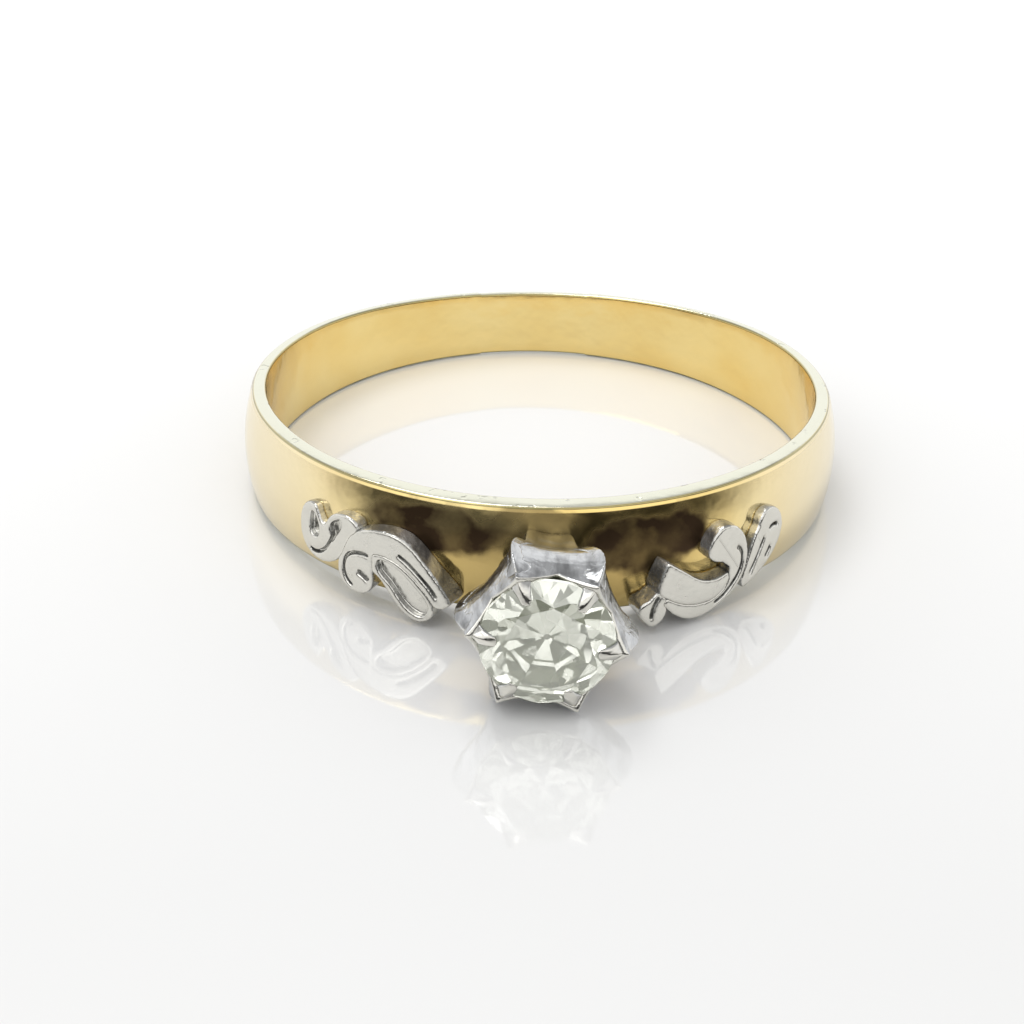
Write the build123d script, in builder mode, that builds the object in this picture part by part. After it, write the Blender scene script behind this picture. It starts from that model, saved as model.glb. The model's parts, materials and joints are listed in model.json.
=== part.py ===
"""Solitaire engagement ring: gold band, scrolled shoulders, six-claw coronet and one stone.

Millimetres. The origin is the centre of the finger hole, +Z runs along the hole, and the
stone faces -Y. Angles round the band are measured from the stone, positive towards +X.
"""

from build123d import *
import math
import os

# Band
bore_radius = 9.0
crown_radius = 9.7  # highest line of the domed outside, from its own centre
dome_shift = 0.29  # the outside is this far forward of the bore, so the front is thicker
dome_rise = 0.3  # crown above the rims at the widest place
front_half_width = 1.76
side_half_width = 1.63
back_half_width = 1.07
insert_width = 3.72  # piece let in at the back to change the size
insert_shift = -0.12

# Coronet: heights are outwards from the finger hole's centre, radii about the stone's axis.
# The cup has six hollowed sides and a claw up each corner: its outline is (height, corner radius).
cup_outline = [(9.5, 1.0), (11.7, 1.76), (13.0, 2.46), (13.6, 2.6), (14.3, 2.54), (15.08, 2.38)]
root_height = cup_outline[0][0]
lip_height = cup_outline[-1][0]
cup_flute = 0.06  # how far its sides are hollowed, as a share of the corner radius
cavity_radius = 1.98
cavity_height = 13.6
seat_radius = 1.86
seat_height = 14.74
lip_inside = 2.01
floor_height = 10.8
notch_depth = 0.58
notch_half_width = 1.12

# Claws: each stands a little proud of its corner and bends in over the stone
claw_count = 6
claw_step = 360 / claw_count
claw_turn = -7.0
claw_outline = [(9.5, 1.06), (11.7, 1.84), (13.0, 2.56), (13.6, 2.7), (14.35, 2.64), (14.95, 2.3),
                (15.28, 1.6)]
claw_flute = 0.115
claw_root_width = 0.46
claw_width = 0.7
claw_tip_width = 0.26
claw_thickness = 0.17
claw_seat_height = 14.25

# Stone: an old cut with a broad table and eight pavilion facets
main_facets = 8
facet_step = 360 / main_facets
stone_radius = 1.99
girdle_height = 14.86
girdle_thickness = 0.07
crown_rise = 0.5
pavilion_depth = 1.66
table_radius = 1.24
crown_angle = 34.0
upper_half_angle = 40.0
star_angle = 19.0
pavilion_angle = 40.0

# Shoulders: applied scrolls, whose face stands further off the band towards the stone
face_radius = 8.9
face_shift = 1.9
scroll_drop = 0.15  # the ornament sits this far below the middle of the band
scroll_reach = 3.0
groove_width = 0.12
groove_depth = 0.22

# Sizes of cutters, which only have to reach past what they cut
cutter_height = 12.0
cutter_reach = 4.0
spare = 1.0

os.makedirs("parts", exist_ok=True)

HEAD = Plane(origin=(0, 0, 0), x_dir=(1, 0, 0), z_dir=(0, -1, 0))


def head_point(radius, angle, height):
    """A point given about the stone's axis."""
    turn = math.radians(angle)
    return (radius * math.cos(turn), -height, radius * math.sin(turn))


def head_direction(tilt, angle):
    """Unit vector leaning `tilt` degrees from the stone's axis, towards `angle`."""
    lean = math.radians(tilt)
    turn = math.radians(angle)
    return (math.sin(lean) * math.cos(turn), -math.cos(lean), math.sin(lean) * math.sin(turn))


def shoulder_plane(angle):
    """Plane tangent to the band at `angle`: x to the right, y up, z outwards."""
    turn = math.radians(angle)
    out = Vector(math.sin(turn), -math.cos(turn), 0)
    foot = out * bore_radius - Vector(0, 0, scroll_drop)
    return Plane(origin=foot, x_dir=(math.cos(turn), math.sin(turn), 0), z_dir=out)


# The whole band before it is parted for the insert.
with BuildPart(mode=Mode.PRIVATE) as band:
    with BuildSketch(Plane((0, -dome_shift, 0), x_dir=(1, 0, 0), z_dir=(0, -1, 0))):
        with BuildLine():
            rim = crown_radius - dome_rise
            inside = bore_radius - spare
            Polyline((rim, -front_half_width), (inside, -front_half_width),
                     (inside, front_half_width), (rim, front_half_width))
            ThreePointArc((rim, front_half_width), (crown_radius, 0), (rim, -front_half_width))
        make_face()
    revolve(axis=Axis((0, -dome_shift, 0), (0, 0, 1)))
    with BuildSketch(Plane.YZ):
        with BuildLine():
            reach = crown_radius + spare
            ThreePointArc((-reach, front_half_width), (0, side_half_width), (reach, back_half_width))
            Line((reach, back_half_width), (reach, -back_half_width))
            ThreePointArc((reach, -back_half_width), (0, -side_half_width), (-reach, -front_half_width))
            Line((-reach, -front_half_width), (-reach, front_half_width))
        make_face()
    extrude(amount=crown_radius + spare, both=True, mode=Mode.INTERSECT)
    Cylinder(bore_radius, cutter_height, mode=Mode.SUBTRACT)

with BuildPart(mode=Mode.PRIVATE) as insert_gap:
    with Locations((insert_shift, crown_radius, 0)):
        Box(insert_width, cutter_reach, cutter_height)

with BuildPart() as shank:
    add(band.part)
    add(insert_gap.part, mode=Mode.SUBTRACT)
shank.part.label = "shank"
export_step(shank.part, "parts/shank.step")

with BuildPart() as sizing_insert:
    add(band.part)
    add(insert_gap.part, mode=Mode.INTERSECT)
sizing_insert.part.label = "sizing_insert"
export_step(sizing_insert.part, "parts/sizing_insert.step")


# Stone: a cylinder cut back to its facets: mains, stars and upper halves on the crown, mains below.
with BuildPart() as stone:
    with BuildSketch(HEAD.offset(girdle_height - pavilion_depth)):
        Circle(stone_radius)
    extrude(amount=pavilion_depth + crown_rise)
    for k in range(main_facets):
        main = claw_turn + facet_step * k
        between = main + facet_step / 2
        crown_edge = head_point(stone_radius, main, girdle_height + girdle_thickness)
        split(bisect_by=Plane(crown_edge, z_dir=head_direction(crown_angle, main)), keep=Keep.BOTTOM)
        base_edge = head_point(stone_radius, main, girdle_height - girdle_thickness)
        split(bisect_by=Plane(base_edge, z_dir=head_direction(180 - pavilion_angle, main)),
              keep=Keep.BOTTOM)
        star_edge = head_point(table_radius, between, girdle_height + crown_rise)
        split(bisect_by=Plane(star_edge, z_dir=head_direction(star_angle, between)), keep=Keep.BOTTOM)
        for side in (-facet_step / 4, facet_step / 4):
            half = between + side
            upper_edge = head_point(stone_radius, half, girdle_height + girdle_thickness / 2)
            split(bisect_by=Plane(upper_edge, z_dir=head_direction(upper_half_angle, half)),
                  keep=Keep.BOTTOM)
stone.part.label = "diamond"
export_step(stone.part, "parts/diamond.step")


def around(radius, angle):
    """A point of a plane square to the stone's axis."""
    turn = math.radians(angle)
    return (radius * math.cos(turn), radius * math.sin(turn))


def six_sided(outline, flute):
    """Loft six-cornered sections of (height, corner radius), their sides hollowed into flutes."""
    middle_share = math.cos(math.radians(claw_step / 2)) - flute
    sections = []
    for height, radius in outline:
        with BuildSketch(HEAD.offset(height)) as section:
            with BuildLine():
                for k in range(claw_count):
                    corner = claw_turn + claw_step * k
                    ThreePointArc(around(radius, corner),
                                  around(radius * middle_share, corner + claw_step / 2),
                                  around(radius, corner + claw_step))
            make_face()
        sections.append(section.sketch)
    loft(sections)


# The cup before it is hollowed, up to the height where the claws take over its corners.
with BuildPart(mode=Mode.PRIVATE) as cup_below:
    six_sided(cup_outline, cup_flute)
    split(bisect_by=HEAD.offset(claw_seat_height), keep=Keep.BOTTOM)


def make_claw(angle):
    """A claw: a rib up the cup's corner at `angle` that thickens and bends in over the stone."""
    tip_height, tip_radius = claw_outline[-1]
    with BuildPart() as claw:
        six_sided(claw_outline, claw_flute)
        with BuildSketch(Plane.XY):
            with BuildLine():
                under = -tip_height + claw_thickness
                Polyline((0, under), (tip_radius, under), (lip_inside, -girdle_height),
                         (lip_inside, -claw_seat_height), (0, -claw_seat_height), close=True)
            make_face()
        revolve(axis=Axis.Y, mode=Mode.SUBTRACT)
        with BuildSketch(Plane((0, 0, 0), x_dir=head_direction(90, angle - 90),
                               z_dir=head_direction(90, angle))):
            with BuildLine():
                root = claw_root_width / 2
                side = claw_width / 2
                tip = claw_tip_width / 2
                Polyline((-root, -root_height), (root, -root_height), (side, -claw_seat_height),
                         (side, -seat_height), (tip, -tip_height), (-tip, -tip_height),
                         (-side, -seat_height), (-side, -claw_seat_height), close=True)
            make_face()
        extrude(amount=cutter_reach, mode=Mode.INTERSECT)
        add(cup_below.part, mode=Mode.SUBTRACT)
        add(stone.part, mode=Mode.SUBTRACT)
        add(band.part, mode=Mode.SUBTRACT)
        Cylinder(bore_radius, cutter_height, mode=Mode.SUBTRACT)
    return claw.part


claws = [make_claw(claw_turn + claw_step * k) for k in range(claw_count)]
for k, claw_part in enumerate(claws):
    claw_part.label = f"claw_{k + 1}"
    export_step(claw_part, f"parts/claw_{k + 1}.step")


# Coronet: a thin fluted tulip, its lip cut in a chevron between each two claws.
with BuildPart() as coronet:
    six_sided(cup_outline, cup_flute)
    with BuildSketch(Plane.XY):
        with BuildLine():
            Polyline((0, -lip_height - spare), (lip_inside, -lip_height - spare),
                     (lip_inside, -girdle_height), (seat_radius, -seat_height))
            inner = Spline((seat_radius, -seat_height), (cavity_radius, -cavity_height),
                           (cavity_radius / 2, -floor_height - spare), (0, -floor_height))
            Line(inner @ 1, (0, -lip_height - spare))
        make_face()
    revolve(axis=Axis.Y, mode=Mode.SUBTRACT)
    for k in range(claw_count):
        middle = claw_turn + claw_step * (k + 0.5)
        outward = head_direction(90, middle)
        with BuildSketch(Plane((0, 0, 0), x_dir=(0, -1, 0), z_dir=outward)):
            with BuildLine():
                Polyline((lip_height - notch_depth, 0), (lip_height, notch_half_width),
                         (lip_height + spare, notch_half_width), (lip_height + spare, -notch_half_width),
                         (lip_height, -notch_half_width), close=True)
            make_face()
        extrude(amount=cutter_reach, mode=Mode.SUBTRACT)
    for claw_part in claws:
        add(claw_part, mode=Mode.SUBTRACT)
    add(stone.part, mode=Mode.SUBTRACT)
    add(band.part, mode=Mode.SUBTRACT)
    Cylinder(bore_radius, cutter_height, mode=Mode.SUBTRACT)
coronet.part.label = "coronet"
export_step(coronet.part, "parts/coronet.step")


# Shoulders: each scroll is cut from a block between the band and a face that rises to the stone.
with BuildPart(mode=Mode.PRIVATE) as face_limit:
    with Locations((0, -face_shift, 0)):
        Cylinder(face_radius, cutter_height)


def groove(plane, points, width=groove_width):
    """Cutter for a line engraved along `points` of `plane`."""
    with BuildPart() as cutter:
        with BuildSketch(plane):
            with BuildLine():
                Spline(*points)
            trace(line_width=width)
        extrude(amount=scroll_reach)
        with Locations((0, -face_shift, 0)):
            Cylinder(face_radius - groove_depth, cutter_height, mode=Mode.SUBTRACT)
    return cutter.part


def dish(plane, points):
    """Cutter for a hollow whose closed outline runs smoothly through `points`."""
    with BuildPart() as cutter:
        with BuildSketch(plane):
            with BuildLine():
                Spline(*points, periodic=True)
            make_face()
        extrude(amount=scroll_reach)
        with Locations((0, -face_shift, 0)):
            Cylinder(face_radius - groove_depth, cutter_height, mode=Mode.SUBTRACT)
    return cutter.part


def raise_scroll(neighbours=(), cutters=()):
    """Raise the open block's sketch from the band to the face, clear of its neighbours, and engrave it."""
    extrude(amount=scroll_reach)
    add(face_limit.part, mode=Mode.INTERSECT)
    add(band.part, mode=Mode.SUBTRACT)
    Cylinder(bore_radius, cutter_height, mode=Mode.SUBTRACT)
    for other in neighbours:
        add(other.part, mode=Mode.SUBTRACT)
    for cutter in cutters:
        add(cutter, mode=Mode.SUBTRACT)


def finish_scroll(name, scroll):
    """Label a finished scroll and write it."""
    scroll.part.label = name
    export_step(scroll.part, f"parts/{name}.step")


# Left shoulder, from the outer end towards the stone.
left_outer = shoulder_plane(-41.5)
left_inner = shoulder_plane(-28.5)

s_groove = groove(left_outer, [(0.6, 0.45), (0.38, -0.05), (0.1, -0.5), (-0.28, -0.79), (-0.72, -0.8)])
s_hollow = dish(left_outer, [(-0.56, 0.5), (-0.4, 0.44), (-0.24, 0.16), (-0.2, -0.08), (-0.4, -0.34),
                             (-0.62, -0.3), (-0.74, 0.0), (-0.7, 0.34)])
s_fold = dish(left_outer, [(0.5, 0.56), (0.86, 0.62), (0.82, 0.4), (0.62, 0.1), (0.4, -0.2), (0.34, 0.1)])
with BuildPart() as left_s_scroll:
    with BuildSketch(left_outer):
        with BuildLine():
            lobe = Spline((-0.36, 0.72), (-0.74, 0.74), (-1.09, 0.43), (-1.23, -0.08),
                          (-1.16, -0.53), (-0.83, -0.9), (-0.28, -1.04), (0.27, -0.93),
                          (0.68, -0.65), (0.92, -0.28), (1.12, 0.15), (1.38, 0.42))
            crest = Spline(lobe @ 1, (1.46, 0.72), (1.22, 0.87), (0.8, 0.88), (0.42, 0.72),
                           (0.16, 0.38))
            Spline(crest @ 1, (-0.02, 0.26), (-0.2, 0.42), lobe @ 0)
        make_face()
    raise_scroll(cutters=[s_groove, s_hollow, s_fold])
finish_scroll("left_s_scroll", left_s_scroll)

curl_groove = groove(left_inner, [(-1.02, -1.35), (-1.3, -1.15), (-1.4, -0.77), (-1.27, -0.41),
                                  (-0.93, -0.2), (-0.4, -0.16)])
ribbon_groove = groove(left_inner, [(0.67, 0.2), (1.03, 0.0), (1.39, -0.3), (1.75, -0.65), (2.0, -0.98)])
curl_eye = groove(left_inner, [(-0.85, -0.82), (-0.62, -0.86), (-0.42, -1.0)], width=0.2)

with BuildPart() as left_c_scroll:
    with BuildSketch(left_inner):
        with BuildLine():
            arch = Spline((-1.29, 0.13), (-0.95, 0.47), (-0.45, 0.71), (0.2, 0.82), (0.76, 0.74),
                          (1.21, 0.47), (1.57, 0.09), (1.97, -0.38), (2.33, -0.86))
            Polyline(arch @ 1, (2.42, -1.12), (2.2, -1.3), (1.92, -1.3))
            inside = Spline((1.92, -1.3), (1.42, -0.66), (0.88, -0.22), (0.25, 0.0), (-0.26, -0.04))
            Polyline(inside @ 1, (-0.26, -1.02))
            curl = Spline((-0.26, -1.02), (-0.42, -1.36), (-0.8, -1.54), (-1.22, -1.5),
                          (-1.54, -1.28), (-1.64, -0.86), (-1.54, -0.36), arch @ 0)
        make_face()
    raise_scroll(neighbours=[left_s_scroll, coronet], cutters=[curl_groove, ribbon_groove, curl_eye])
finish_scroll("left_c_scroll", left_c_scroll)

leaf_dish = dish(left_inner, [(0.3, -0.14), (0.84, -0.38), (1.36, -0.84), (1.72, -1.36), (1.56, -1.68),
                              (1.1, -1.6), (0.72, -1.28), (0.34, -0.84), (-0.04, -0.5), (-0.1, -0.22)])
with BuildPart() as left_leaf:
    with BuildSketch(left_inner):
        with BuildLine():
            upper = Spline((-0.26, -0.04), (0.25, 0.0), (0.88, -0.22), (1.42, -0.66), (1.86, -1.24),
                           (1.88, -1.55))
            lower = Spline(upper @ 1, (1.72, -1.76), (1.42, -1.87), (1.03, -1.79), (0.67, -1.51),
                           (0.3, -1.08), (0.02, -0.78), (-0.26, -0.62))
            Line(lower @ 1, upper @ 0)
        make_face()
    raise_scroll(neighbours=[left_c_scroll, coronet], cutters=[leaf_dish])
finish_scroll("left_leaf", left_leaf)

# Right shoulder: the same motifs turned half round about the stone's axis.
right_outer = shoulder_plane(41.7)
right_inner = shoulder_plane(31.7)
right_end = shoulder_plane(19.7)

long_groove = groove(right_outer, [(0.08, 0.0), (-0.24, -0.52), (-0.6, -1.05)])
short_groove = groove(right_outer, [(0.42, -0.42), (0.3, -0.6), (0.16, -0.74)])
cap_groove = groove(right_outer, [(0.3, 0.16), (0.56, 0.24), (0.82, 0.12)])
with BuildPart() as right_s_scroll:
    with BuildSketch(right_outer):
        with BuildLine():
            top = Spline((-0.18, 0.46), (0.0, 0.8), (0.28, 0.9), (0.65, 0.77), (0.97, 0.42),
                         (1.03, -0.12), (0.65, -0.68), (0.0, -1.1), (-0.6, -1.36))
            Polyline(top @ 1, (-0.88, -1.42), (-0.96, -1.1))
            Spline((-0.96, -1.1), (-0.76, -0.61), (-0.54, -0.12), (-0.36, 0.22), top @ 0)
        make_face()
    raise_scroll(cutters=[long_groove, short_groove, cap_groove])
finish_scroll("right_s_scroll", right_s_scroll)

hook_groove = groove(right_inner, [(0.56, 0.1), (0.76, -0.08), (0.82, -0.42), (0.7, -0.79),
                                   (0.46, -1.08), (0.16, -1.34), (-0.3, -1.56)])

with BuildPart() as right_c_scroll:
    with BuildSketch(right_inner):
        with BuildLine():
            lobe = Spline((-0.56, 0.27), (-0.36, 0.68), (0.0, 0.92), (0.44, 0.84), (0.81, 0.5),
                          (1.02, 0.0), (1.02, -0.52), (0.84, -1.0), (0.5, -1.36), (0.08, -1.6),
                          (-0.4, -1.78), (-0.9, -1.88), (-1.4, -1.8), (-1.8, -1.55), (-2.16, -1.16))
            tail = Spline((-2.02, -1.0), (-1.62, -1.24), (-0.98, -1.42), (-0.34, -1.4), (0.08, -1.18),
                          (0.28, -0.86))
            Line(lobe @ 1, tail @ 0)
            Polyline(tail @ 1, (0.3, -0.5), (0.0, -0.24))
            Spline((0.0, -0.24), (-0.28, -0.16), (-0.5, 0.0), lobe @ 0)
        make_face()
    raise_scroll(neighbours=[right_s_scroll], cutters=[hook_groove])
finish_scroll("right_c_scroll", right_c_scroll)

with BuildPart() as right_leaf:
    with BuildSketch(right_inner):
        with BuildLine():
            point = Spline((-2.02, 0.2), (-1.71, -0.02), (-1.25, -0.36), (-0.89, -0.61),
                           (-0.5, -0.74), (-0.07, -0.75), (0.22, -0.66))
            base = Spline((0.28, -0.86), (0.08, -1.18), (-0.34, -1.4), (-0.98, -1.42),
                          (-1.62, -1.24), (-2.02, -1.0))
            Line(point @ 1, base @ 0)
            Spline(base @ 1, (-2.28, -0.74), (-2.22, -0.26), point @ 0)
        make_face()
    raise_scroll(neighbours=[right_c_scroll])
finish_scroll("right_leaf", right_leaf)

bud_groove = groove(right_end, [(-0.1, -0.86), (-0.28, -1.2), (-0.34, -1.6)])
with BuildPart() as right_bud:
    with BuildSketch(right_end):
        with BuildLine():
            Spline((0.0, -0.78), (0.16, -1.1), (0.15, -1.45), (-0.06, -1.76), (-0.3, -1.84),
                   (-0.54, -1.66), (-0.73, -1.38), (-0.7, -1.12), (-0.42, -0.98), (-0.18, -0.78),
                   periodic=True)
        make_face()
    raise_scroll(neighbours=[right_c_scroll, right_leaf, coronet], cutters=[bud_groove])
finish_scroll("right_bud", right_bud)
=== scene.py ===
"""Engagement ring on a pale floor.

Gold band, scrolled white metal shoulders, claw coronet, old cut stone.
"""

import json
from math import atan2, cos, pi, radians, sin, sqrt, tau

import bpy
from mathutils import Matrix, Vector, noise


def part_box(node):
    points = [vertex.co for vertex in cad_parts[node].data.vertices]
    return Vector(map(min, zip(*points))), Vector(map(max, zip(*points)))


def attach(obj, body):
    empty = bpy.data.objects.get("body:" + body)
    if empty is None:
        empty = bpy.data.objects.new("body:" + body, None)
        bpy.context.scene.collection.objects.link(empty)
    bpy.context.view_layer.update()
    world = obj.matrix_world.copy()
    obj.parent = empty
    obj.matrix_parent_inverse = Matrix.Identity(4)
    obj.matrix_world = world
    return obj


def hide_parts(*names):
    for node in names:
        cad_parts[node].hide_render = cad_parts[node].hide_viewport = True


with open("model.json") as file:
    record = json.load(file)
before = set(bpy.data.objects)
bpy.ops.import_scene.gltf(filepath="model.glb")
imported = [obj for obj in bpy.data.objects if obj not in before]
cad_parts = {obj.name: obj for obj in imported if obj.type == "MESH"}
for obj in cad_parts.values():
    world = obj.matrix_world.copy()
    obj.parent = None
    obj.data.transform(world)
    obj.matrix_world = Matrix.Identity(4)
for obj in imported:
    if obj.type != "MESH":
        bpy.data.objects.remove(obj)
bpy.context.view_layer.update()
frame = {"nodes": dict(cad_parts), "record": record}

MM = 0.001

# Band, from the frame where the frame gives it
shank_low, shank_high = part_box("shank")
insert_low, insert_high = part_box("sizing_insert")
BORE_RADIUS = frame["record"]["mounts"][0]["dims"]["r_mm"] * MM
CROWN_RADIUS = shank_high[0]
DOME_SHIFT = -shank_low[1] - CROWN_RADIUS
DOME_RISE = 0.30 * MM
FRONT_HALF_WIDTH = shank_high[2]
SIDE_HALF_WIDTH = 1.63 * MM
BACK_HALF_WIDTH = 1.07 * MM
EDGE_ROUND = 0.09 * MM
BAND_STEPS = 900  # sections round the band
HAND_WORK = 0.018 * MM  # how far the worn band strays from true
HAND_WORK_SCALE = 260  # how fine that is, in noise features per metre
HAND_WORK_SEED = 1  # without a seed, Blender's noise is drawn anew in each run
INSERT_STEP = 0.02 * MM  # how far the insert's rims and outside lie below the band's

# White metal: voxel size and smoothing passes that round the edges, and how far every piece swells
HEAD_WEAR = (0.025 * MM, 12)
ORNAMENT_WEAR = (0.03 * MM, 26)
SWELL = 0.02 * MM

# Floor, and the black card in front of the ring
FLOOR_HALF_SIZE = 0.6
BACK_FROM = 0.95  # of the way to the band's back, where the floor's support is looked for
FLAG_HALF_WIDTH = 22 * MM
FLAG_Y = -36 * MM
FLAG_TOP = 7 * MM
FLAG_DROP = 3 * MM  # how far it reaches below the floor

# Camera: fitted to the band's rims
CAMERA_AZIMUTH = radians(-1.41)
CAMERA_ELEVATION = radians(24.5)
CAMERA_ROLL = radians(1.36)
CAMERA_DISTANCE = 100 * MM
CAMERA_LENS = 106.3
CAMERA_PAN = radians(0.525)
CAMERA_TILT = radians(1.557)
CAMERA_AIM = Vector((0, -0.2 * MM, 0))

# Colours, in linear RGB
GOLD = (0.85, 0.68, 0.31)
GOLD_DEEP = (0.79, 0.57, 0.20)
# Painted highlight on the band's rim tops
GOLD_RIM_HIGHLIGHT = (0.72, 0.72, 0.60)
# Painted shade along the rims' rounded edges
GOLD_RIM_SHADE = (0.26, 0.25, 0.12)
# Painted sheen on the band's sides
GOLD_SIDE_SHEEN = (0.82, 0.72, 0.50)
# Painted shade across the band's front
GOLD_FRONT_SHADE = (0.44, 0.31, 0.11)
# Painted dark reflection on the gold's outside, above the ornaments
GOLD_DARK_REFLECTION = (0.055, 0.034, 0.019)
WHITE_METAL = (0.66, 0.645, 0.59)
FLANK = (0.66, 0.66, 0.64)
HEAD_FLANK = (0.54, 0.55, 0.56)
# Darker colour for the white metal's hollows
HOLLOW_DARK = (0.07, 0.065, 0.055)
WORLD_STRENGTH = 1.44

# How fine each pattern is, in noise features per metre
GOLD_SCALE = {"cloud": 260, "blotch": 800, "stray": 900, "smear": 900,
              "dent": 620, "scratch": 9000, "nick": 1700}
WHITE_SCALE = {"streak": 2600, "smear": 1800, "dent": 1500, "nick": 5200, "grain": 14000}
HAZE_SCALE = 500
# How rough the gold is where its painted dark reflections lie
DARK_REFLECTION_ROUGHNESS = 0.38

# Patches on the outside of the gold: centre, half size and strength of each.
# Painted dark reflections lie above the applied ornaments, and a wide painted shade, brownish,
# under them.
DARK_REFLECTION_PATCHES = [((-3.4 * MM, -9.3 * MM, 0.78 * MM), (2.7 * MM, 2.5 * MM, 0.95 * MM), 1.0),
                 ((2.9 * MM, -9.5 * MM, 0.45 * MM), (2.0 * MM, 2.5 * MM, 1.0 * MM), 1.0),
                 ((4.2 * MM, -8.9 * MM, 0.72 * MM), (0.9 * MM, 2.0 * MM, 0.95 * MM), 1.0),
                 ((-0.2 * MM, -9.9 * MM, 1.3 * MM), (1.6 * MM, 1.5 * MM, 0.6 * MM), 0.6)]
# Centre, half size and strength of the painted shade across the front
FRONT_SHADE_PATCH = ((0.0, -9.6 * MM, -0.3 * MM), (5.5 * MM, 2.5 * MM, 1.6 * MM), 0.75)
PATCH_NONE, PATCH_FULL = 1.1, 0.7  # where a patch fades out, in half sizes from its centre

# The band's outside has a paler painted sheen at its sides, between these distances off the middle
SHEEN_FROM, SHEEN_FULL = 4.5 * MM, 9.0 * MM


# ---------------------------------------------------------------- helpers

def add_mesh(name, vertices, faces):
    """A new mesh object in the scene."""
    mesh = bpy.data.meshes.new(name)
    mesh.from_pydata(vertices, [], faces)
    obj = bpy.data.objects.new(name, mesh)
    bpy.context.collection.objects.link(obj)
    return obj


def new_material(name):
    """An empty node material and its shader."""
    material = bpy.data.materials.new(name)
    material.use_nodes = True
    shader = material.node_tree.nodes["Principled BSDF"]
    return material, material.node_tree, shader


def add_node(tree, kind, **values):
    """A node of `kind`, with its properties and inputs set by name."""
    node = tree.nodes.new(kind)
    for key, value in values.items():
        if hasattr(node, key):
            setattr(node, key, value)
        else:
            node.inputs[key].default_value = value
    return node


def object_noise(tree, scale, detail=4.0, stretch=(1, 1, 1)):
    """Noise in object coordinates; `scale` is in features per metre."""
    place = tree.nodes.new("ShaderNodeTexCoord")
    mapping = tree.nodes.new("ShaderNodeMapping")
    mapping.inputs["Scale"].default_value = stretch
    tree.links.new(place.outputs["Object"], mapping.inputs["Vector"])
    texture = add_node(tree, "ShaderNodeTexNoise", Scale=scale, Detail=detail)
    tree.links.new(mapping.outputs["Vector"], texture.inputs["Vector"])
    return texture.outputs["Fac"]


def ramp(tree, source, stops):
    """A colour ramp over `source`, with stops of (position, grey or colour)."""
    node = tree.nodes.new("ShaderNodeValToRGB")
    elements = node.color_ramp.elements
    while len(elements) < len(stops):
        elements.new(0.5)
    for element, (position, colour) in zip(elements, stops):
        element.position = position
        element.color = (*colour, 1) if isinstance(colour, tuple) else (colour,) * 3 + (1,)
    tree.links.new(source, node.inputs["Fac"])
    return node.outputs["Color"]


def fade(tree, value, start, end, top=1.0):
    """A smooth step over `value`: 0 at `start`, `top` at `end`."""
    node = add_node(tree, "ShaderNodeMapRange", interpolation_type="SMOOTHSTEP")
    node.inputs["From Min"].default_value = start
    node.inputs["From Max"].default_value = end
    node.inputs["To Max"].default_value = top
    tree.links.new(value, node.inputs["Value"])
    return node.outputs["Result"]


def mix_colour(tree, factor, first, second, blend="MIX"):
    """Two colours mixed by `factor`; each of the three may be a value or a socket."""
    node = tree.nodes.new("ShaderNodeMix")
    node.data_type = "RGBA"
    node.blend_type = blend
    factor_in, first_in, second_in = (node.inputs[k] for k in (0, 6, 7))
    for value, socket in ((factor, factor_in), (first, first_in), (second, second_in)):
        if isinstance(value, bpy.types.NodeSocket):
            tree.links.new(value, socket)
        elif isinstance(value, tuple):
            socket.default_value = (*value, 1)
        else:
            socket.default_value = value
    return node.outputs[2]


def bump_chain(tree, shader, layers):
    """Bumps one over another, on the shader's normal.

    Each layer is (height socket, strength or its socket, depth in metres).
    """
    normal = None
    for height, strength, depth in layers:
        bump = add_node(tree, "ShaderNodeBump", Distance=depth)
        if isinstance(strength, bpy.types.NodeSocket):
            tree.links.new(strength, bump.inputs["Strength"])
        else:
            bump.inputs["Strength"].default_value = strength
        tree.links.new(height, bump.inputs["Height"])
        if normal:
            tree.links.new(normal, bump.inputs["Normal"])
        normal = bump.outputs["Normal"]
    tree.links.new(normal, shader.inputs["Normal"])


# ---------------------------------------------------------------- masks

def stray_position(tree, scale, amount):
    """Object coordinates pushed about by noise, up to about `amount` metres."""
    place = tree.nodes.new("ShaderNodeTexCoord")
    texture = add_node(tree, "ShaderNodeTexNoise", Scale=scale, Detail=3.0)
    tree.links.new(place.outputs["Object"], texture.inputs["Vector"])
    push = add_node(tree, "ShaderNodeVectorMath", operation="MULTIPLY_ADD")
    push.inputs[1].default_value = (2 * amount,) * 3
    tree.links.new(texture.outputs["Color"], push.inputs[0])
    level = add_node(tree, "ShaderNodeVectorMath", operation="SUBTRACT")
    level.inputs[1].default_value = (amount,) * 3
    tree.links.new(place.outputs["Object"], level.inputs[0])
    tree.links.new(level.outputs["Vector"], push.inputs[2])
    return push.outputs["Vector"]


def patch_mask(tree, position, centre, half_size, strength):
    """`strength` inside a soft-edged ellipsoid, 0 outside it."""
    mapping = add_node(tree, "ShaderNodeMapping", vector_type="TEXTURE")
    mapping.inputs["Location"].default_value = centre
    mapping.inputs["Scale"].default_value = half_size
    tree.links.new(position, mapping.inputs["Vector"])
    apart = add_node(tree, "ShaderNodeVectorMath", operation="LENGTH")
    tree.links.new(mapping.outputs["Vector"], apart.inputs[0])
    return fade(tree, apart.outputs["Value"], PATCH_NONE, PATCH_FULL, strength)


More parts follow.
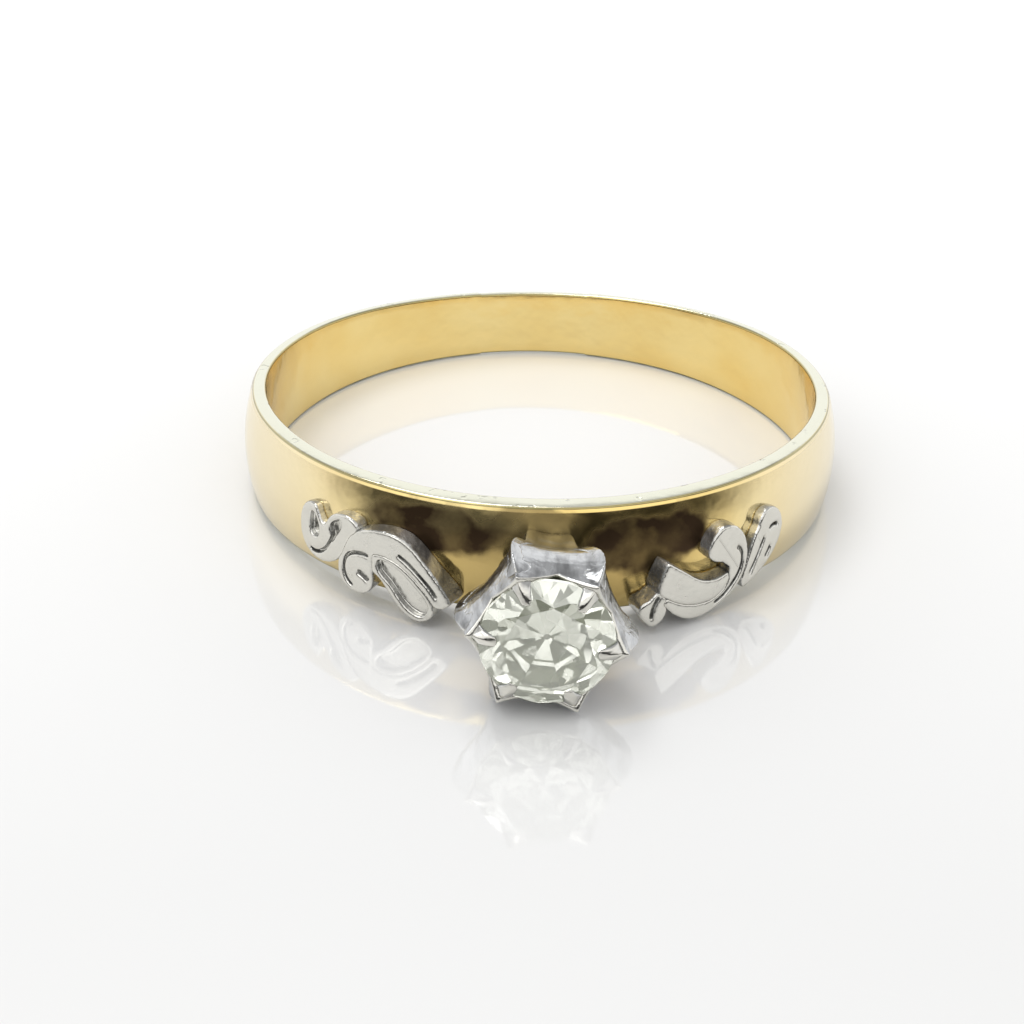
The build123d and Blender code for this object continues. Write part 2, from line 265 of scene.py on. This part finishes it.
def facing_out(tree):
    """1 where the surface faces away from the finger hole's axis, 0 on flanks and the inside."""
    geometry = tree.nodes.new("ShaderNodeNewGeometry")
    level = add_node(tree, "ShaderNodeVectorMath", operation="MULTIPLY")
    level.inputs[1].default_value = (1, 1, 0)
    tree.links.new(geometry.outputs["Position"], level.inputs[0])
    out = add_node(tree, "ShaderNodeVectorMath", operation="NORMALIZE")
    tree.links.new(level.outputs["Vector"], out.inputs[0])
    dot = add_node(tree, "ShaderNodeVectorMath", operation="DOT_PRODUCT")
    tree.links.new(out.outputs["Vector"], dot.inputs[0])
    tree.links.new(geometry.outputs["Normal"], dot.inputs[1])
    return ramp(tree, dot.outputs["Value"], [(0.35, 0.0), (0.80, 1.0)])


def side_mask(tree):
    """1 at the band's two sides, 0 at its front and back."""
    place = tree.nodes.new("ShaderNodeTexCoord")
    split = tree.nodes.new("ShaderNodeSeparateXYZ")
    tree.links.new(place.outputs["Object"], split.inputs["Vector"])
    off = add_node(tree, "ShaderNodeMath", operation="ABSOLUTE")
    tree.links.new(split.outputs["X"], off.inputs[0])
    return fade(tree, off.outputs["Value"], SHEEN_FROM, SHEEN_FULL)


# ---------------------------------------------------------------- materials

def gold_material():
    """Warm yellow gold, polished and worn.

    Soft dents and scratches all over and nicked rims; painted dark reflections above the
    ornaments, a painted shade across the front, a paler painted sheen at its sides, and painted
    shade and highlight along the rims.
    """
    material, tree, shader = new_material("yellow_gold")
    shader.inputs["Metallic"].default_value = 1.0
    cloud = ramp(tree, object_noise(tree, GOLD_SCALE["cloud"], 3), [(0.35, 0.0), (0.7, 1.0)])
    colour = mix_colour(tree, cloud, GOLD, GOLD_DEEP)
    blotch = object_noise(tree, GOLD_SCALE["blotch"], 4)
    blotch = ramp(tree, blotch, [(0.30, 0.75), (0.50, 1.0)])
    position = stray_position(tree, GOLD_SCALE["stray"], 0.5 * MM)
    outside = facing_out(tree)
    # Painted shade: a wide brownish area across the band's front, under the ornaments
    front_shade = patch_mask(tree, position, *FRONT_SHADE_PATCH)
    front_shade = mix_colour(tree, 1.0, front_shade, outside, "MULTIPLY")
    # Painted sheen: the outside paler towards the band's sides
    side_sheen = mix_colour(tree, 1.0, side_mask(tree), outside, "MULTIPLY")
    colour = mix_colour(tree, front_shade, colour, GOLD_FRONT_SHADE)
    colour = mix_colour(tree, side_sheen, colour, GOLD_SIDE_SHEEN)
    # Painted reflection: dark patches above the ornaments, standing for the dark head and
    # surroundings mirrored in the gold; the gold is rougher there
    dark_reflection = (0.0, 0.0, 0.0)
    for patch in DARK_REFLECTION_PATCHES:
        mask = mix_colour(tree, 1.0, patch_mask(tree, position, *patch), blotch, "MULTIPLY")
        dark_reflection = mix_colour(tree, 1.0, dark_reflection, mask, "SCREEN")
    dark_reflection = mix_colour(tree, 1.0, dark_reflection, outside, "MULTIPLY")
    colour = mix_colour(tree, dark_reflection, colour, GOLD_DARK_REFLECTION)
    rim = add_node(tree, "ShaderNodeAttribute", attribute_name="rim")
    # Painted shade: a dark line along the rims' rounded edges
    rim_shade = ramp(tree, rim.outputs["Fac"],
                   [(0.05, 0.0), (0.3, 0.75), (0.55, 0.75), (0.85, 0.0)])
    # Painted highlight: the rim tops paler; the same mask places the nicks
    flat = ramp(tree, rim.outputs["Fac"], [(0.5, 0.0), (0.85, 1.0)])
    colour = mix_colour(tree, rim_shade, colour, GOLD_RIM_SHADE)
    colour = mix_colour(tree, flat, colour, GOLD_RIM_HIGHLIGHT)
    tree.links.new(colour, shader.inputs["Base Color"])
    smear = object_noise(tree, GOLD_SCALE["smear"], 5)
    polish = ramp(tree, smear, [(0.3, 0.07), (0.75, 0.19)])
    roughness = mix_colour(tree, dark_reflection, polish, (DARK_REFLECTION_ROUGHNESS,) * 3)
    tree.links.new(roughness, shader.inputs["Roughness"])
    dents = object_noise(tree, GOLD_SCALE["dent"], 3)
    scratches = object_noise(tree, GOLD_SCALE["scratch"], 2, stretch=(1, 1, 0.12))
    nicks = ramp(tree, object_noise(tree, GOLD_SCALE["nick"], 2), [(0.30, 0.0), (0.36, 1.0)])
    nicks = mix_colour(tree, flat, (1.0, 1.0, 1.0), nicks)
    bump_chain(tree, shader, [(dents, 0.6, 0.07 * MM),
                              (scratches, 0.15, 0.004 * MM),
                              (nicks, 0.4, 0.03 * MM)])
    return material


def white_metal_material(name, flank_colour, flank_metallic, flank_roughness, flank_nicks):
    """Platinum-white metal, hand finished: smooth faces, worked flanks, dark in its hollows."""
    material, tree, shader = new_material(name)
    face = facing_out(tree)
    streaks = object_noise(tree, WHITE_SCALE["streak"], 3, stretch=(1, 0.18, 1))
    streaks = ramp(tree, streaks, [(0.36, 0.45), (0.60, 1.0)])
    shader.inputs["Metallic"].default_value = 1.0
    if flank_metallic < 1.0:
        metallic = mix_colour(tree, face, (flank_metallic,) * 3, (1.0,) * 3)
        tree.links.new(metallic, shader.inputs["Metallic"])
    flank = mix_colour(tree, 1.0, flank_colour, streaks, "MULTIPLY")
    colour = mix_colour(tree, face, flank, WHITE_METAL)
    geometry = tree.nodes.new("ShaderNodeNewGeometry")
    # Darker in the hollows, where pointiness is low
    hollow = ramp(tree, geometry.outputs["Pointiness"], [(0.42, 1.0), (0.49, 0.0)])
    tree.links.new(mix_colour(tree, hollow, colour, HOLLOW_DARK), shader.inputs["Base Color"])
    smear = object_noise(tree, WHITE_SCALE["smear"], 4)
    polished = ramp(tree, smear, [(0.3, 0.14), (0.75, 0.30)])
    dull = ramp(tree, smear, [(0.3, flank_roughness), (0.75, flank_roughness + 0.15)])
    tree.links.new(mix_colour(tree, face, dull, polished), shader.inputs["Roughness"])
    dents = object_noise(tree, WHITE_SCALE["dent"], 3)
    nicks = object_noise(tree, WHITE_SCALE["nick"], 3)
    nicked = mix_colour(tree, face, (flank_nicks,) * 3, (0.3,) * 3)
    grain = object_noise(tree, WHITE_SCALE["grain"], 2)
    bump_chain(tree, shader, [(dents, 0.7, 0.05 * MM),
                              (nicks, nicked, 0.03 * MM),
                              (grain, 0.25, 0.004 * MM)])
    return material


def diamond_material():
    """Faintly green-yellow diamond, with the haze of a dirty back.

    A little light of its own stands in for what facets that aren't modelled would return.
    """
    material, tree, shader = new_material("diamond")
    shader.inputs["Base Color"].default_value = (0.95, 0.96, 0.88, 1)
    shader.inputs["Roughness"].default_value = 0.0
    shader.inputs["IOR"].default_value = 2.42
    shader.inputs["Emission Color"].default_value = (0.86, 0.92, 0.66, 1)
    shader.inputs["Emission Strength"].default_value = 0.035
    haze = ramp(tree, object_noise(tree, HAZE_SCALE, 2), [(0.35, 0.97), (0.7, 0.86)])
    tree.links.new(haze, shader.inputs["Transmission Weight"])
    return material


def floor_material():
    """Plain pale glossy sheet."""
    material, tree, shader = new_material("floor")
    shader.inputs["Base Color"].default_value = (0.80, 0.80, 0.795, 1)
    shader.inputs["Roughness"].default_value = 0.05
    shader.inputs["IOR"].default_value = 2.0
    return material


# ---------------------------------------------------------------- band

def half_width(y):
    """Half the band's width at `y`: widest at the stone, narrowest at the back."""
    t = y / (CROWN_RADIUS + MM)
    bend = (FRONT_HALF_WIDTH + BACK_HALF_WIDTH) / 2 - SIDE_HALF_WIDTH
    return SIDE_HALF_WIDTH + (BACK_HALF_WIDTH - FRONT_HALF_WIDTH) / 2 * t + bend * t * t


def dome_radius(z):
    """Radius of the domed outside at height z, from its own centre."""
    arc = (FRONT_HALF_WIDTH ** 2 + DOME_RISE ** 2) / (2 * DOME_RISE)
    return CROWN_RADIUS - arc + sqrt(arc * arc - z * z)


def band_profile(angle, squeeze):
    """The band's closed section at `angle`, as (x, y, z, how much rim) points.

    It runs up the inside, over the upper rim, down the domed outside and over the lower rim.
    """
    out = Vector((sin(angle), -cos(angle), 0))
    outer_centre = Vector((0, -DOME_SHIFT, 0))
    half = half_width(-CROWN_RADIUS * cos(angle)) - squeeze
    outer_edge = dome_radius(half) - squeeze
    points = []

    def put(place, z, rim):
        points.append((place.x, place.y, z, rim))

    inner_steps, dome_steps, round_steps = 10, 84, 5
    turns = [pi / 2 * k / round_steps for k in range(round_steps + 1)]
    wall = half - EDGE_ROUND
    corner = outer_edge - EDGE_ROUND
    for k in range(inner_steps + 1):
        put(out * BORE_RADIUS, wall * (2 * k / inner_steps - 1), 0.0)
    for k, turn in enumerate(turns[1:], start=1):
        put(out * (BORE_RADIUS + EDGE_ROUND * (1 - cos(turn))),
            wall + EDGE_ROUND * sin(turn), k / round_steps)
    for k, turn in enumerate(turns):
        put(outer_centre + out * (corner + EDGE_ROUND * sin(turn)),
            wall + EDGE_ROUND * cos(turn), 1 - k / round_steps)
    for k in range(1, dome_steps):
        z = wall * (1 - 2 * k / dome_steps)
        put(outer_centre + out * (dome_radius(z) - squeeze), z, 0.0)
    for k, turn in enumerate(turns):
        put(outer_centre + out * (corner + EDGE_ROUND * cos(turn)),
            -(wall + EDGE_ROUND * sin(turn)), k / round_steps)
    for k, turn in enumerate(turns[:-1]):
        put(out * (BORE_RADIUS + EDGE_ROUND * (1 - sin(turn))),
            -(wall + EDGE_ROUND * cos(turn)), 1 - k / round_steps)
    return points


def make_band(name, seams):
    """The whole band as one closed ring, a touch smaller between the insert's two seams."""
    noise.seed_set(HAND_WORK_SEED)
    vertices, rims = [], []
    for k in range(BAND_STEPS):
        angle = tau * k / BAND_STEPS
        squeeze = INSERT_STEP if seams[0] < angle < seams[1] else 0.0
        for x, y, z, rim in band_profile(angle, squeeze):
            stray = noise.noise_vector(Vector((x, y, z)) * HAND_WORK_SCALE) * HAND_WORK
            vertices.append((x + stray.x, y + stray.y, z + stray.z))
            rims.append(rim)
    count = len(vertices) // BAND_STEPS
    faces = []
    for k in range(BAND_STEPS):
        near, far = k * count, (k + 1) % BAND_STEPS * count
        for j in range(count):
            following = (j + 1) % count
            faces.append((near + j, far + j, far + following, near + following))
    obj = add_mesh(name, vertices, faces)
    obj.data.attributes.new("rim", "FLOAT", "POINT").data.foreach_set("value", rims)
    obj.data.shade_smooth()
    return obj


# ---------------------------------------------------------------- CAD nodes

def soften(obj, voxel, passes, swell):
    """Rounds a piece's edges as filing and wear do, and swells it to close on its neighbours."""
    remesh = obj.modifiers.new("even", "REMESH")
    remesh.mode = "VOXEL"
    remesh.voxel_size = voxel
    remesh.use_smooth_shade = True
    smooth = obj.modifiers.new("worn", "SMOOTH")
    smooth.factor = 0.5
    smooth.iterations = passes
    full = obj.modifiers.new("full", "DISPLACE")
    full.strength = swell
    full.mid_level = 0.0


def dress(obj, material):
    """Gives a CAD node this material in all its slots."""
    if not obj.material_slots:
        obj.data.materials.append(material)
    for slot in obj.material_slots:
        slot.material = material


# ---------------------------------------------------------------- stage

def support_plane(objects):
    """The floor's height at y 0 and its slope.

    It touches the band's back edge and lies under all the rest.
    """
    corners = [v.co for o in objects for v in o.data.vertices]
    back = min((c for c in corners if c.y > BACK_FROM * insert_high[1]), key=lambda c: c.z)
    slope = max((back.z - c.z) / (back.y - c.y) for c in corners if c.y < 0)
    return back.z - slope * back.y, slope


def make_floor(height, slope):
    """A large sheet under the ring, tilted as the ring leans on it."""
    size = FLOOR_HALF_SIZE
    corners = [(-size, -size), (size, -size), (size, size), (-size, size)]
    floor = add_mesh("floor", [(x, y, height + slope * y) for x, y in corners], [(0, 1, 2, 3)])
    floor.data.materials.append(floor_material())


def make_flag(floor_height):
    """A black card in front of the ring, seen only in reflections."""
    wide, low = FLAG_HALF_WIDTH, floor_height - FLAG_DROP
    corners = [(-wide, low), (wide, low), (wide, FLAG_TOP), (-wide, FLAG_TOP)]
    flag = add_mesh("flag", [(x, FLAG_Y, z) for x, z in corners], [(0, 1, 2, 3)])
    material, _, shader = new_material("black_card")
    shader.inputs["Base Color"].default_value = (0.01, 0.01, 0.01, 1)
    shader.inputs["Roughness"].default_value = 0.9
    flag.data.materials.append(material)
    flag.visible_camera = False
    flag.visible_diffuse = False
    flag.visible_shadow = False


def make_light(name, azimuth, elevation, distance, size, power):
    """A soft square light aimed at the ring."""
    data = bpy.data.lights.new(name, "AREA")
    data.size = size
    data.energy = power
    light = bpy.data.objects.new(name, data)
    a, e = radians(azimuth), radians(elevation)
    place = Vector((sin(a) * cos(e), -cos(a) * cos(e), sin(e))) * distance
    light.location = place
    light.rotation_euler = place.to_track_quat("Z", "Y").to_euler()
    bpy.context.collection.objects.link(light)


def make_world():
    """A white room round the ring.

    The viewer's side is dark at floor level and brightest 30 degrees up. The far side is even,
    with a dimmer band 40 degrees up.
    """
    world = bpy.data.worlds.new("studio")
    bpy.context.scene.world = world
    world.use_nodes = True
    tree = world.node_tree
    background = tree.nodes["Background"]
    place = tree.nodes.new("ShaderNodeTexCoord")
    split = tree.nodes.new("ShaderNodeSeparateXYZ")
    tree.links.new(place.outputs["Generated"], split.inputs["Vector"])
    behind = ramp(tree, split.outputs["Z"],
                  [(0.0, 0.70), (0.2, 0.85), (0.48, 0.85), (0.64, 0.35), (1.0, 0.6)])
    before = ramp(tree, split.outputs["Z"],
                  [(0.0, 0.02), (0.14, 0.03), (0.26, 0.6), (0.5, 1.0), (1.0, 0.6)])
    side = fade(tree, split.outputs["Y"], -0.55, 0.1)
    tree.links.new(mix_colour(tree, side, before, behind), background.inputs["Color"])
    background.inputs["Strength"].default_value = WORLD_STRENGTH


def make_camera():
    """The camera, at the distance, angle, roll and aim fitted to the band."""
    a, e, r = CAMERA_AZIMUTH, CAMERA_ELEVATION, CAMERA_ROLL
    back = Vector((sin(a) * cos(e), -cos(a) * cos(e), sin(e)))
    forward = -back
    right = forward.cross(Vector((0, 0, 1))).normalized()
    up = right.cross(forward)
    right, up = cos(r) * right + sin(r) * up, cos(r) * up - sin(r) * right
    right, forward = (cos(CAMERA_PAN) * right + sin(CAMERA_PAN) * forward,
                      cos(CAMERA_PAN) * forward - sin(CAMERA_PAN) * right)
    up, forward = (cos(CAMERA_TILT) * up + sin(CAMERA_TILT) * forward,
                   cos(CAMERA_TILT) * forward - sin(CAMERA_TILT) * up)
    data = bpy.data.cameras.new("camera")
    data.lens = CAMERA_LENS
    data.clip_start = MM
    data.clip_end = 10
    camera = bpy.data.objects.new("camera", data)
    turn = Matrix((right, up, -forward)).transposed().to_4x4()
    camera.matrix_world = Matrix.Translation(CAMERA_AIM + back * CAMERA_DISTANCE) @ turn
    bpy.context.collection.objects.link(camera)
    bpy.context.scene.camera = camera


# ---------------------------------------------------------------- assembly

gold = gold_material()
ornament_metal = white_metal_material("white_metal", FLANK, flank_metallic=0.82,
                                      flank_roughness=0.16, flank_nicks=1.0)
head_metal = white_metal_material("head_metal", HEAD_FLANK, flank_metallic=1.0,
                                  flank_roughness=0.12, flank_nicks=0.22)
diamond = diamond_material()

floor_height, floor_slope = support_plane(frame["nodes"].values())

# The angles round the band, from the stone, at which its insert begins and ends
seams = (pi - atan2(insert_high[0], insert_low[1]), pi + atan2(-insert_low[0], insert_low[1]))
band = make_band("band", seams)
band.data.materials.append(gold)
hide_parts("shank", "sizing_insert")
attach(band, "root")

for name, node in frame["nodes"].items():
    if name == "diamond":
        dress(node, diamond)
    elif name not in ("shank", "sizing_insert"):
        in_head = name == "coronet" or name.startswith("claw_")
        dress(node, head_metal if in_head else ornament_metal)
        soften(node, *(HEAD_WEAR if in_head else ORNAMENT_WEAR), SWELL)

make_floor(floor_height, floor_slope)
make_flag(floor_height)
make_world()
make_light("key", azimuth=-50, elevation=55, distance=0.25, size=0.14, power=0.10)
make_light("top", azimuth=-150, elevation=66, distance=0.25, size=0.10, power=0.15)
make_camera()
bpy.context.scene.view_settings.view_transform = "Standard"
